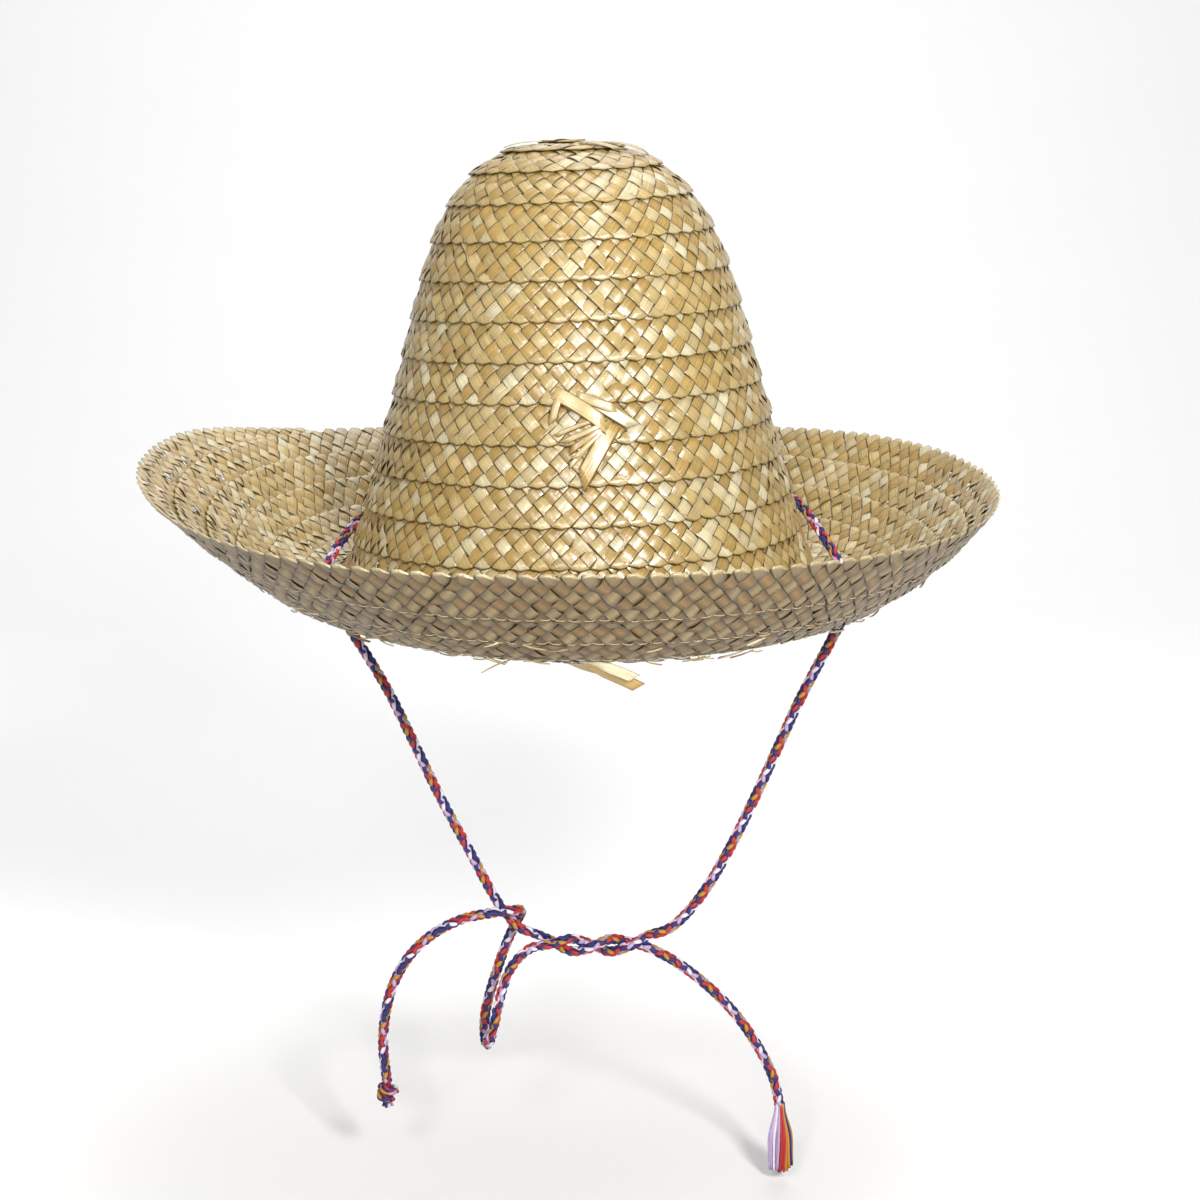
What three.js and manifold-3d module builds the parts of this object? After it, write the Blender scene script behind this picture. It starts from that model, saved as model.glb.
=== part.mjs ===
// A straw sombrero: one long straw plait sewn in a spiral from the tip of the crown to the rim, with its
// sewing thread, the cut plait ends at two splices, and a braided chin cord.
// Millimetres, +Z up, front towards -Y.
// The origin is the centre of the head opening, where the crown meets the brim.
import * as THREE from 'three';
import { mergeVertices } from 'three/addons/utils/BufferGeometryUtils.js';
import Module from 'manifold-3d';

const wasm = await Module();
wasm.setup();

// Hat section, measured by the distance along it from the tip of the crown
const TIP_HEIGHT = 165.8;
const CROWN_LENGTH = 206;
const WALL_SLOPE = -79;
const WALL_FLARE = 6;
const SHOULDER_LENGTH = 48;
const SHOULDER_SHARPNESS = 1.85;
const CREASE_LENGTH = 12;
const CROWN_LEAN = 3.2;
const RIM_DISTANCE = 303;
const BRIM_SPAN = 96;
const BRIM_DIP = 142;
const BRIM_DIP_LENGTH = 28;

// Straw plait
const PLAIT_PITCH = 15.25;
const PLAIT_WIDTH = 1.5 * PLAIT_PITCH;
const PLAIT_THICKNESS = 1.2;
const GAP = 0.3;
const LAYER_STEP = PLAIT_THICKNESS + GAP;
const STATIONS_PER_TURN = 24;
const STRIPS_ACROSS = 3;
const FIRST_MIDDLE = 6;
const TIP_START = -0.75;
const CENTRE_CLEARANCE = 0.6;
const CROWN_TURNS = 13;
const BRIM_TURNS = 19;
const PLAIT_END = 18.875;
const TUCK_START = 18.79;
const TUCK_DEPTH = 9;

// Sewing thread, inside the hat along each seam
const THREAD_RADIUS = 0.45;
const THREAD_FROM_EDGE = 2.5;

// Cut plait ends at the two splices
const FLAP_THICKNESS = 0.8;
const FLAP_BASE = 1.1;
const CROWN_FLAP = { turn: 8.49, side: 1, inner: -5, outer: 12, near: 10, far: -8, lean: 12, hang: 0 };
const BRIM_FLAP = { turn: 15.49, side: -1, inner: -4, outer: 5, near: -3, far: 6, lean: 2, hang: 6 };

// Chin cord
const CORD_RADIUS = 2.25;
const CORD_SIDES = 8;
const HOLE_RADIUS = 3.2;
const LEFT_HOLE = { azimuth: -172, turn: 13.7278 };
const RIGHT_HOLE = { azimuth: -8.5, turn: 14.2736 };
const CORD_ABOVE_HOLE = 4;
const BACK_CORD_START = { distance: 194, azimuth: 168 };
const BACK_CORD_END = { distance: 186, azimuth: 10 };
const BACK_CORD_HEIGHT = 4.8;
const BACK_CORD_POINTS = 13;
const BACK_CORD_STEPS = 44;
const STRAND_STEPS = 16;
const RIGHT_TAIL_STEPS = 8;
const LEFT_TAIL_STEPS = 26;
const CORD_BELOW_HOLE = 3;

// Half-knot under the chin, knot on the left tail and tassel on the right one
const TWIST = { centre: [4, -20, -155], half: 23.7, radius: 5.1, neck: 3.4 };
const KNOT = { centre: [-79.6, -20, -220.3], radius: 4.8, neck: 2.8, tip: 2.6 };
const KNOT_LEVELS = { top: 5.4, waist: 1.5, foot: -4.6, bottom: -5.5 };
const TASSEL = { top: [83, -18, -226.9], length: 29, neck: 2.6, shoulder: 3.6, belly: 5.9, mouth: 5.6 };
const TASSEL_LEVELS = { shoulder: -5, belly: -17 };

const STRAW = { color: 0xd9bf7c, roughness: 0.45, metalness: 0 };
const THREAD = { color: 0xe8e6df, roughness: 0.25, metalness: 0 };
const CORD = { color: 0x8c3a45, roughness: 0.8, metalness: 0 };

const radians = THREE.MathUtils.degToRad;
const lerp = THREE.MathUtils.lerp;
const smooth = (low, high, value) => THREE.MathUtils.smoothstep(value, low, high);

// Slope of the section in degrees: level at the tip, steep down the crown, then out and up to the rim.
// The brim is lower in front and higher at the left, and its slope grows towards the rim.
function sectionSlope(distance, azimuth) {
  const wall = WALL_SLOPE + WALL_FLARE * (distance / CROWN_LENGTH);
  const crown = wall * (1 - Math.exp(-((distance / SHOULDER_LENGTH) ** SHOULDER_SHARPNESS)));
  const out = Math.max(distance - CROWN_LENGTH, 0);
  const across = Math.cos(azimuth);
  const back = Math.sin(azimuth);
  const oval = Math.cos(2 * azimuth);
  const skew = Math.sin(2 * azimuth);
  const wave = 4 * Math.sin(3 * azimuth) - 2 * Math.cos(3 * azimuth);
  const start = 85 - 10 * across + 24 * back + 5 * oval - 3 * skew;
  const curl = -45 + 19 * across - 39 * back - 4 * oval + 6 * skew + wave;
  const brim = start + curl * (out / BRIM_SPAN) - BRIM_DIP * Math.exp(-out / BRIM_DIP_LENGTH);
  const half = CREASE_LENGTH / 2;
  const share = smooth(CROWN_LENGTH - half, CROWN_LENGTH + half, distance);
  return crown * (1 - share) + brim * share;
}

const sections = new Map();

// The section at one azimuth as points 0.5 mm apart, by adding up its slope from the tip
function section(azimuthDegrees) {
  const key = Math.round((((azimuthDegrees % 360) + 360) % 360) * 1000);
  if (sections.has(key)) {
    return sections.get(key);
  }
  const step = 0.5;
  const points = [{ r: 0, z: TIP_HEIGHT }];
  for (let i = 0; i * step < RIM_DISTANCE + 10; i += 1) {
    const slope = radians(sectionSlope((i + 0.5) * step, radians(azimuthDegrees)));
    const last = points[i];
    points.push({ r: last.r + step * Math.cos(slope), z: last.z + step * Math.sin(slope) });
  }
  const found = { step, points };
  sections.set(key, found);
  return found;
}

// A point of the hat: distance along the section, azimuth in degrees, height above the base surface
function hatPoint(distance, azimuthDegrees, height) {
  const azimuth = radians(azimuthDegrees);
  const { step, points } = section(azimuthDegrees);
  const index = Math.min(Math.floor(distance / step), points.length - 2);
  const part = distance / step - index;
  const slope = radians(sectionSlope(distance, azimuth));
  const r = lerp(points[index].r, points[index + 1].r, part) - height * Math.sin(slope);
  const z = lerp(points[index].z, points[index + 1].z, part) + height * Math.cos(slope);
  const lean = CROWN_LEAN * (Math.max(z, 0) / TIP_HEIGHT) ** 3;
  return new THREE.Vector3(r * Math.cos(azimuth) - lean, r * Math.sin(azimuth), z);
}

// The spiral: whole turns end at the back, and it runs clockwise seen from above
const azimuthOfTurn = (turn) => 90 - 360 * turn;
const middleOfTurn = (turn) => FIRST_MIDDLE + PLAIT_PITCH * turn;
const layerHeight = (distance, turn) => (LAYER_STEP / PLAIT_PITCH) * (distance - middleOfTurn(turn));

// Inner and outer edge of the plait. It stops growing at the rim, and its end is folded in under the turn
// before.
function plaitEdges(turn) {
  const tuck = TUCK_DEPTH * smooth(TUCK_START, PLAIT_END, turn);
  const middle = Math.min(middleOfTurn(turn), RIM_DISTANCE - PLAIT_WIDTH / 2);
  return [Math.max(middle - PLAIT_WIDTH / 2, CENTRE_CLEARANCE), middle + PLAIT_WIDTH / 2 - tuck];
}

// A closed body from rings of points, each ring joined to the next, with both ends capped. The two halves
// of a ring split their faces along the same diagonal, so that stacked layers stay parallel.
function bodyFromRings(rings) {
  const size = rings[0].length;
  const positions = rings.flat().flatMap((point) => point.toArray());
  const faces = [];
  for (let i = 0; i + 1 < rings.length; i += 1) {
    for (let j = 0; j < size; j += 1) {
      const a = i * size + j;
      const b = i * size + ((j + 1) % size);
      if (j < size / 2) {
        faces.push(a, b, b + size, a, b + size, a + size);
      } else {
        faces.push(a, b, a + size, b, b + size, a + size);
      }
    }
  }
  const last = (rings.length - 1) * size;
  for (let j = 1; j < size / 2; j += 1) {
    const k = size - j;
    faces.push(j - 1, k, j, last + j - 1, last + j, last + k);
    if (k - 1 > j) {
      faces.push(j, k, k - 1, last + j, last + k - 1, last + k);
    }
  }
  return orientedGeometry(positions, faces);
}

// Turns a closed triangle list so that its faces point outwards
function orientedGeometry(positions, faces) {
  let volume = 0;
  const corner = (index) => new THREE.Vector3().fromArray(positions, 3 * index);
  for (let i = 0; i < faces.length; i += 3) {
    volume += corner(faces[i]).dot(corner(faces[i + 1]).cross(corner(faces[i + 2])));
  }
  const outward = volume > 0 ? faces : faces.toReversed();
  const geometry = new THREE.BufferGeometry();
  geometry.setAttribute('position', new THREE.Float32BufferAttribute(positions, 3));
  geometry.setIndex(outward);
  geometry.computeVertexNormals();
  return geometry;
}

// One stretch of plait between two turns of the spiral, short of each end by half the gap
function plaitStretch(start, end) {
  const rings = [];
  const count = Math.round((end - start) * STATIONS_PER_TURN);
  for (let i = 0; i <= count; i += 1) {
    const turn = start + i / STATIONS_PER_TURN;
    const [inner, outer] = plaitEdges(turn);
    const trim = (GAP / 2) / Math.max((inner + outer) / 4, 1) * (180 / Math.PI);
    const shift = i === 0 ? -trim : i === count ? trim : 0;
    const azimuth = azimuthOfTurn(turn) + shift;
    const top = [];
    const bottom = [];
    for (let j = 0; j <= STRIPS_ACROSS; j += 1) {
      const distance = lerp(inner, outer, j / STRIPS_ACROSS);
      const height = layerHeight(distance, turn);
      top.push(hatPoint(distance, azimuth, height + PLAIT_THICKNESS / 2));
      bottom.unshift(hatPoint(distance, azimuth, height - PLAIT_THICKNESS / 2));
    }
    rings.push([...top, ...bottom]);
  }
  return bodyFromRings(rings);
}

// The sewing thread: a thin run under the inner edge of the plait, which covers the seam inside the hat
function seamThread(start, end) {
  const rings = [];
  const count = Math.round((end - start) * STATIONS_PER_TURN);
  for (let i = 0; i <= count; i += 1) {
    const turn = start + i / STATIONS_PER_TURN;
    const azimuth = azimuthOfTurn(turn);
    const distance = plaitEdges(turn)[0] + THREAD_FROM_EDGE;
    const under = layerHeight(distance, turn) - PLAIT_THICKNESS / 2 - GAP;
    rings.push([
      hatPoint(distance - THREAD_RADIUS, azimuth, under),
      hatPoint(distance + THREAD_RADIUS, azimuth, under),
      hatPoint(distance, azimuth, under - 2 * THREAD_RADIUS),
    ]);
  }
  return bodyFromRings(rings);
}

// A cut end of plait at a splice: a flat flap lying on one side of the hat
function spliceFlap({ turn, side, inner, outer, near, far, lean, hang }) {
  const lift = side * (PLAIT_THICKNESS / 2 + GAP) + (side < 0 ? -2 * THREAD_RADIUS - GAP : 0);
  const thick = side * FLAP_THICKNESS;
  const rings = [];
  const azimuth = azimuthOfTurn(turn);
  for (const [part, spread] of [[0, 1], [0.5, 0.8], [1, 0.45]]) {
    const across = lerp(near, far, part);
    const ring = [];
    for (const [edge, height] of [[inner, 0], [outer, 0], [outer, thick], [inner, thick]]) {
      const distance = middleOfTurn(turn) + lean * part + edge * spread;
      const above = (FLAP_BASE + hang * part) * side + lift + height;
      ring.push(hatPoint(distance, azimuth + across, above));
    }
    rings.push(ring);
  }
  return bodyFromRings(rings);
}

// A cord along points: a smooth curve swept with a plain round section
function cordAlong(points, steps) {
  const curve = new THREE.CatmullRomCurve3(points, false, 'centripetal');
  const outline = new THREE.Shape();
  for (let i = 0; i < CORD_SIDES; i += 1) {
    const angle = (2 * Math.PI * i) / CORD_SIDES;
    const x = CORD_RADIUS * Math.cos(angle);
    const y = CORD_RADIUS * Math.sin(angle);
    if (i === 0) {
      outline.moveTo(x, y);
    } else {
      outline.lineTo(x, y);
    }
  }
  return new THREE.ExtrudeGeometry(outline, { steps, bevelEnabled: false, extrudePath: curve });
}

// A three.js geometry as a manifold-3d solid, for cutting
function solidOf(geometry) {
  const bare = geometry.clone();
  bare.deleteAttribute('normal');
  bare.deleteAttribute('uv');
  const merged = mergeVertices(bare, 1e-4);
  return new wasm.Manifold(new wasm.Mesh({
    numProp: 3,
    vertProperties: new Float32Array(merged.attributes.position.array),
    triVerts: new Uint32Array(merged.index.array),
  }));
}

function geometryOf(solid) {
  const mesh = solid.getMesh();
  const geometry = new THREE.BufferGeometry();
  geometry.setAttribute('position', new THREE.Float32BufferAttribute(mesh.vertProperties, 3));
  geometry.setIndex(Array.from(mesh.triVerts));
  geometry.computeVertexNormals();
  return geometry;
}

// Where a cord hole goes through the middle of the plait, and the direction out of the top of it
function holeAxis({ azimuth, turn }) {
  const distance = middleOfTurn(turn);
  const centre = hatPoint(distance, azimuth, 0);
  const up = hatPoint(distance, azimuth, 1).sub(centre).normalize();
  return { centre, up };
}

function holeCutter(hole) {
  const { centre, up } = holeAxis(hole);
  const cutter = new THREE.CylinderGeometry(HOLE_RADIUS, HOLE_RADIUS, 10, 12);
  cutter.applyQuaternion(new THREE.Quaternion().setFromUnitVectors(new THREE.Vector3(0, 1, 0), up));
  cutter.translate(centre.x, centre.y, centre.z);
  return solidOf(cutter);
}

function withHole(geometry, hole) {
  return geometryOf(solidOf(geometry).subtract(holeCutter(hole)));
}

const alongHole = (hole, offset) => {
  const { centre, up } = holeAxis(hole);
  return centre.addScaledVector(up, offset);
};

// The back stretch of the cord: up through the left hole, straight across to the crown wall, round the back
// of the crown a little above the crease, and straight down to the right hole
function backCordPoints() {
  const points = [alongHole(LEFT_HOLE, 0), alongHole(LEFT_HOLE, CORD_ABOVE_HOLE)];
  for (let i = 0; i < BACK_CORD_POINTS; i += 1) {
    const share = i / (BACK_CORD_POINTS - 1);
    const distance = lerp(BACK_CORD_START.distance, BACK_CORD_END.distance, share);
    const azimuth = lerp(BACK_CORD_START.azimuth, BACK_CORD_END.azimuth, share);
    points.push(hatPoint(distance, azimuth, BACK_CORD_HEIGHT));
  }
  points.push(alongHole(RIGHT_HOLE, CORD_ABOVE_HOLE), alongHole(RIGHT_HOLE, 0));
  return points;
}

const route = (list) => list.map((point) => new THREE.Vector3(...point));

// The chin cord's routes below the brim. The left one crosses under the chin and ends in the tassel, the
// right one ends in the knot, and between x = -20 and x = 28 they are twisted round each other.
const LEFT_STRAND = route([
  [-96.8, -14, -16], [-91.5, -15, -25], [-84.5, -16, -36], [-77, -17, -49], [-70.6, -18, -62],
  [-64.3, -18, -76], [-58, -18, -90], [-51.8, -18, -102.5], [-45.8, -18, -114], [-40.2, -18.5, -125],
  [-34.5, -19.5, -135.5], [-28.5, -20.2, -144], [-23.3, -20.4, -148.6],
]);
const RIGHT_STRAND = route([
  [104.2, -16, -20], [99.6, -16.6, -30], [93.4, -17.2, -42], [87, -18, -55], [79.8, -18, -72],
  [70.2, -18, -94.5], [60.4, -18, -115.6], [51.2, -18.5, -132], [43.2, -19.2, -142.5], [35.8, -19.8, -148.8],
  [31.3, -20, -150.8],
]);
const RIGHT_TAIL = route([
  [31.3, -20, -158.2], [38, -19.7, -162], [46.5, -19.2, -168.4], [57, -18.7, -178], [67, -18.2, -190],
  [75, -18, -203], [80.4, -18, -215], [82.8, -18, -225.8],
]);
const LEFT_TAIL = route([
  [-23.6, -22.2, -159], [-27.3, -23.4, -162.8], [-31, -26.6, -170], [-33.4, -29, -179],
  [-35.2, -30, -187.5], [-37, -27, -194.7], [-38.6, -20, -197.9], [-39.6, -13, -194.7],
  [-39, -10.2, -187], [-33, -9.2, -166], [-29, -9.4, -155.2], [-25.4, -12.4, -146.6],
  [-24.1, -18.5, -141.2], [-27.7, -24.7, -139], [-35.4, -28.2, -138.8], [-46.5, -28.6, -141],
  [-58, -27.6, -147], [-68.5, -26, -157], [-76, -24, -170.5], [-80, -22, -186],
  [-81, -20.6, -201], [-79.8, -20, -214.5],
]);

// A round body from its profile, [radius, height] pairs from the axis at the bottom to the axis at the top
function turnedBody(profile) {
  return new THREE.LatheGeometry(profile.map(([r, y]) => new THREE.Vector2(r, y)), CORD_SIDES);
}

// The twist under the chin as one plain body of its outer shape
function twistBody() {
  const { centre, half, radius, neck } = TWIST;
  const body = turnedBody([
    [0, -half], [neck, -half], [radius, -half / 2], [radius, half / 2], [neck, half], [0, half],
  ]);
  body.rotateZ(Math.PI / 2);
  return body.translate(...centre);
}

// The small round knot that ends the left tail
function knotBody() {
  const { centre, radius, neck, tip } = KNOT;
  const { top, waist, foot, bottom } = KNOT_LEVELS;
  const body = turnedBody([
    [0, bottom], [tip, foot], [radius, -waist], [radius, waist], [neck, top], [0, top],
  ]);
  body.rotateX(Math.PI / 2);
  return body.translate(...centre);
}

// The frayed end of the right tail as one plain body
function tasselBody() {
  const { top, length, neck, shoulder, belly, mouth } = TASSEL;
  const levels = TASSEL_LEVELS;
  const body = turnedBody([
    [0, -length], [mouth, -length], [belly, levels.belly], [shoulder, levels.shoulder], [neck, 0], [0, 0],
  ]);
  body.rotateX(Math.PI / 2);
  return body.translate(...top);
}

const hat = new THREE.Group();

function addPart(name, geometry, finish) {
  const mesh = new THREE.Mesh(geometry, new THREE.MeshStandardMaterial(finish));
  mesh.name = name;
  hat.add(mesh);
}

const twoDigits = (number) => String(number).padStart(2, '0');

// Crown: the tip coil, then one node for each turn down to the crease
addPart('crown_tip', plaitStretch(TIP_START, 1), STRAW);
for (let turn = 1; turn < CROWN_TURNS; turn += 1) {
  addPart(`crown_round_${twoDigits(turn)}`, plaitStretch(turn, turn + 1), STRAW);
}

// Brim: one node for each turn, with the two cord holes
for (let turn = CROWN_TURNS; turn < BRIM_TURNS; turn += 1) {
  let plait = plaitStretch(turn, Math.min(turn + 1, PLAIT_END));
  for (const hole of [LEFT_HOLE, RIGHT_HOLE]) {
    if (Math.floor(hole.turn) === turn) {
      plait = withHole(plait, hole);
    }
  }
  addPart(`brim_round_${twoDigits(turn - CROWN_TURNS + 1)}`, plait, STRAW);
}

addPart('crown_seam_thread', seamThread(1, CROWN_TURNS - 0.25), THREAD);
addPart('brim_seam_thread', seamThread(CROWN_TURNS, PLAIT_END - 0.125), THREAD);

addPart('crown_splice_end', spliceFlap(CROWN_FLAP), STRAW);
addPart('brim_splice_end', spliceFlap(BRIM_FLAP), STRAW);

addPart('crown_cord', cordAlong(backCordPoints(), BACK_CORD_STEPS), CORD);
addPart('chin_cord_left', cordAlong([
  alongHole(LEFT_HOLE, -GAP), alongHole(LEFT_HOLE, -CORD_BELOW_HOLE), ...LEFT_STRAND,
], STRAND_STEPS), CORD);
addPart('chin_cord_right', cordAlong([
  alongHole(RIGHT_HOLE, -GAP), alongHole(RIGHT_HOLE, -CORD_BELOW_HOLE), ...RIGHT_STRAND,
], STRAND_STEPS), CORD);
addPart('chin_twist', twistBody(), CORD);
addPart('right_tail', cordAlong(RIGHT_TAIL, RIGHT_TAIL_STEPS), CORD);
addPart('left_tail', cordAlong(LEFT_TAIL, LEFT_TAIL_STEPS), CORD);
addPart('end_knot', knotBody(), CORD);
addPart('tassel', tasselBody(), CORD);

export default hat;
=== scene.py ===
import math

import bpy
import numpy as np
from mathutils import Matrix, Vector


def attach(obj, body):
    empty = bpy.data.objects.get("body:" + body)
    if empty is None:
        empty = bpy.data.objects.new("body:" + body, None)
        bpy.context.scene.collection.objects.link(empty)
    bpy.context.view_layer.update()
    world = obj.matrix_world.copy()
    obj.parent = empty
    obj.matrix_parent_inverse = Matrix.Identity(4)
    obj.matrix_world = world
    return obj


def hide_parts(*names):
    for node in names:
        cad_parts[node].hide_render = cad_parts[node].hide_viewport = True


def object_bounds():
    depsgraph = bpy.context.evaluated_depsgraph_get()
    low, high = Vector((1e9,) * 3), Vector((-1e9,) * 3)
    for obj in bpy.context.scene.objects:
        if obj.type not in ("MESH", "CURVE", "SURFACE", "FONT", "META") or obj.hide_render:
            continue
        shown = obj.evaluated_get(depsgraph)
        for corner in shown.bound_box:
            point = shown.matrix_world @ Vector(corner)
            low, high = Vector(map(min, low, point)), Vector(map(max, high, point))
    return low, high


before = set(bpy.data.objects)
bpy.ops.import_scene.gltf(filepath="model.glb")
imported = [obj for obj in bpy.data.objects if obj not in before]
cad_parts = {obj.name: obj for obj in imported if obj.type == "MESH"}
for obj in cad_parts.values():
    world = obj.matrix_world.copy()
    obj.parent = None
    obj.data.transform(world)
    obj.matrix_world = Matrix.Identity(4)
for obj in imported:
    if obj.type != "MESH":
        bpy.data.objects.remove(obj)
cad_low, cad_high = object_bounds()
MM = 0.001
rng = np.random.default_rng(31)

# ---------------------------------------------------------------- hat surface, in mm and degrees
# A distance runs along the hat's section from the tip of the crown to the rim. A turn counts turns of the
# plait's spiral, clockwise from above, from the back of the hat.
TIP_HEIGHT = 165.8
CROWN_LENGTH = 206.0
WALL_SLOPE = -79.0
WALL_FLARE = 6.0
SHOULDER_LENGTH = 48.0
SHOULDER_SHARPNESS = 1.85
CREASE_LENGTH = 12.0
CROWN_LEAN = 3.2
RIM_DISTANCE = 303.0
BRIM_SPAN = 96.0
BRIM_DIP = 142.0
BRIM_DIP_LENGTH = 28.0
PLAIT_PITCH = 15.25
PLAIT_WIDTH = 22.875
LAYER_STEP = 1.5
FIRST_MIDDLE = 6.0
TIP_START = -0.75
CROWN_TURNS = 13
BRIM_TURNS = 6
PLAIT_END = 18.875
TUCK_START = 18.79
TUCK_DEPTH = 9.0
CENTRE_CLEARANCE = 0.6
SECTION_STEP = 0.5
SECTION_LENGTH = 330
SPINE_POINTS = 6001


def smooth(low, high, value):
    """0 below low and 1 above high, with a smooth rise between them."""
    share = np.clip((value - low) / (high - low), 0, 1)
    return share * share * (3 - 2 * share)


def section_slope(distance, azimuth):
    """Slope of the hat's section in degrees, azimuth in radians.

    The brim sets out at one slope and curls up by another, and both vary in waves round the hat.
    """
    wall = WALL_SLOPE + WALL_FLARE * distance / CROWN_LENGTH
    crown = wall * (1 - np.exp(-((distance / SHOULDER_LENGTH) ** SHOULDER_SHARPNESS)))
    out = np.maximum(distance - CROWN_LENGTH, 0)
    c, s = np.cos(azimuth), np.sin(azimuth)
    c2, s2 = np.cos(2 * azimuth), np.sin(2 * azimuth)
    wave = 4 * np.sin(3 * azimuth) - 2 * np.cos(3 * azimuth)
    start = 85 - 10 * c + 24 * s + 5 * c2 - 3 * s2
    curl = -45 + 19 * c - 39 * s - 4 * c2 + 6 * s2 + wave
    brim = start + curl * out / BRIM_SPAN - BRIM_DIP * np.exp(-out / BRIM_DIP_LENGTH)
    half = CREASE_LENGTH / 2
    share = smooth(CROWN_LENGTH - half, CROWN_LENGTH + half, distance)
    return crown * (1 - share) + brim * share


grid_azimuth = np.arange(0, 361.0)
grid_middle = np.arange(0, SECTION_LENGTH, SECTION_STEP) + SECTION_STEP / 2
grid_slope = np.radians(section_slope(grid_middle[None, :], np.radians(grid_azimuth)[:, None]))
zero = np.zeros((len(grid_azimuth), 1))
GRID_RADIUS = np.hstack([zero, np.cumsum(np.cos(grid_slope), 1)]) * SECTION_STEP
GRID_HEIGHT = TIP_HEIGHT + np.hstack([zero, np.cumsum(np.sin(grid_slope), 1)]) * SECTION_STEP


def hat_point(distance, azimuth, height):
    """Points on the hat, n x 3, at a distance along its section, an azimuth and a height off it."""
    distance, azimuth, height = np.broadcast_arrays(distance, azimuth, height)
    turned = np.mod(azimuth, 360.0)
    i = np.minimum(turned.astype(int), 359)
    j = np.minimum((distance / SECTION_STEP).astype(int), GRID_RADIUS.shape[1] - 2)
    fi, fj = turned - i, distance / SECTION_STEP - j
    radius, z = (
        (g[i, j] * (1 - fj) + g[i, j + 1] * fj) * (1 - fi)
        + (g[i + 1, j] * (1 - fj) + g[i + 1, j + 1] * fj) * fi
        for g in (GRID_RADIUS, GRID_HEIGHT)
    )
    angle = np.radians(turned)
    slope = np.radians(section_slope(distance, angle))
    radius = radius - height * np.sin(slope)
    z = z + height * np.cos(slope)
    lean = CROWN_LEAN * (np.maximum(z, 0) / TIP_HEIGHT) ** 3
    return np.stack([radius * np.cos(angle) - lean, radius * np.sin(angle), z], -1)


def middle_of_turn(turn):
    return FIRST_MIDDLE + PLAIT_PITCH * turn


def layer_height(distance, turn):
    """Height of the middle of the plait, which laps under the turn before it."""
    return LAYER_STEP / PLAIT_PITCH * (distance - middle_of_turn(turn))


def plait_edges(turn):
    """Distances of the plait's inner and outer edge, where its end is tucked in under the rim."""
    tuck = TUCK_DEPTH * smooth(TUCK_START, PLAIT_END, turn)
    middle = np.minimum(middle_of_turn(turn), RIM_DISTANCE - PLAIT_WIDTH / 2)
    inner = np.maximum(middle - PLAIT_WIDTH / 2, CENTRE_CLEARANCE)
    return inner, middle + PLAIT_WIDTH / 2 - tuck


def plait_point(turn, share, height):
    """A point of the plait: share runs from 0 at the inner edge to 1 at the outer edge."""
    inner, outer = plait_edges(turn)
    distance = inner + (outer - inner) * share
    return hat_point(distance, 90 - 360 * turn, layer_height(distance, turn) + height)


TURNS = np.linspace(TIP_START, PLAIT_END, SPINE_POINTS)
spine = plait_point(TURNS, 0.5, 0)
SPINE_LENGTH = np.concatenate([[0], np.cumsum(np.linalg.norm(np.diff(spine, axis=0), axis=1))])


# ---------------------------------------------------------------- meshes and materials
def mesh_piece(name, points, faces, material, colours=None, grain=None):
    """A smooth mesh object from mm points. colours and grain are one row for each point."""
    mesh = bpy.data.meshes.new(name)
    mesh.from_pydata((np.asarray(points) * MM).tolist(), [], faces)
    mesh.polygons.foreach_set("use_smooth", np.ones(len(mesh.polygons), bool))
    if colours is not None:
        tint = mesh.color_attributes.new("tint", "FLOAT_COLOR", "POINT")
        tint.data.foreach_set("color", np.asarray(colours, np.float32).ravel())
    if grain is not None:
        layer = mesh.attributes.new("grain", "FLOAT_VECTOR", "POINT")
        layer.data.foreach_set("vector", np.asarray(grain, np.float32).ravel())
    mesh.materials.append(material)
    piece = bpy.data.objects.new(name, mesh)
    bpy.context.scene.collection.objects.link(piece)
    return piece


def dressed_piece(name, made, material, slot, *nodes):
    """A piece from points, faces, colours and grain, which rides on the hat in the place of CAD nodes."""
    points, faces, colours, grain = made
    piece = mesh_piece(name, points, faces, material, colours, grain)
    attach(piece, "root")
    if nodes:
        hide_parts(*nodes)
    return piece


def merged(parts):
    """One set of points, faces, colours and grain from several."""
    points, faces, colours, grain = [], [], [], []
    base = 0
    for part_points, part_faces, part_colours, part_grain in parts:
        points.append(part_points)
        colours.append(part_colours)
        grain.append(part_grain)
        faces += [tuple(i + base for i in face) for face in part_faces]
        base += len(part_points)
    return np.vstack(points), faces, np.vstack(colours), np.vstack(grain)


def tube_faces(rings, sides):
    """Side quads and end caps of a tube whose rings of vertices follow each other."""
    faces = []
    for r in range(rings - 1):
        a, b = r * sides, (r + 1) * sides
        for i in range(sides):
            k = (i + 1) % sides
            faces.append((a + i, a + k, b + k, b + i))
    last = (rings - 1) * sides
    faces.append(tuple(range(sides - 1, -1, -1)))
    faces.append(tuple(range(last, last + sides)))
    return faces


def shiny(shades):
    """Colours with a fourth value of 1, which leaves the material as smooth as it is."""
    return np.hstack([shades, np.ones((len(shades), 1))])


def linear(hex_colour):
    """An sRGB colour as linear values."""
    value = [int(hex_colour[i : i + 2], 16) / 255 for i in (0, 2, 4)]
    return np.array([v / 12.92 if v < 0.04045 else ((v + 0.055) / 1.055) ** 2.4 for v in value])


def new_material(name, roughness, **values):
    """A material, its node tree and its shader, with constant values on the shader's own sockets."""
    material = bpy.data.materials.new(name)
    material.use_nodes = True
    shader = material.node_tree.nodes["Principled BSDF"]
    shader.inputs["Roughness"].default_value = roughness
    for key, value in values.items():
        shader.inputs[key.replace("_", " ")].default_value = value
    return material, material.node_tree, shader


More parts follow.
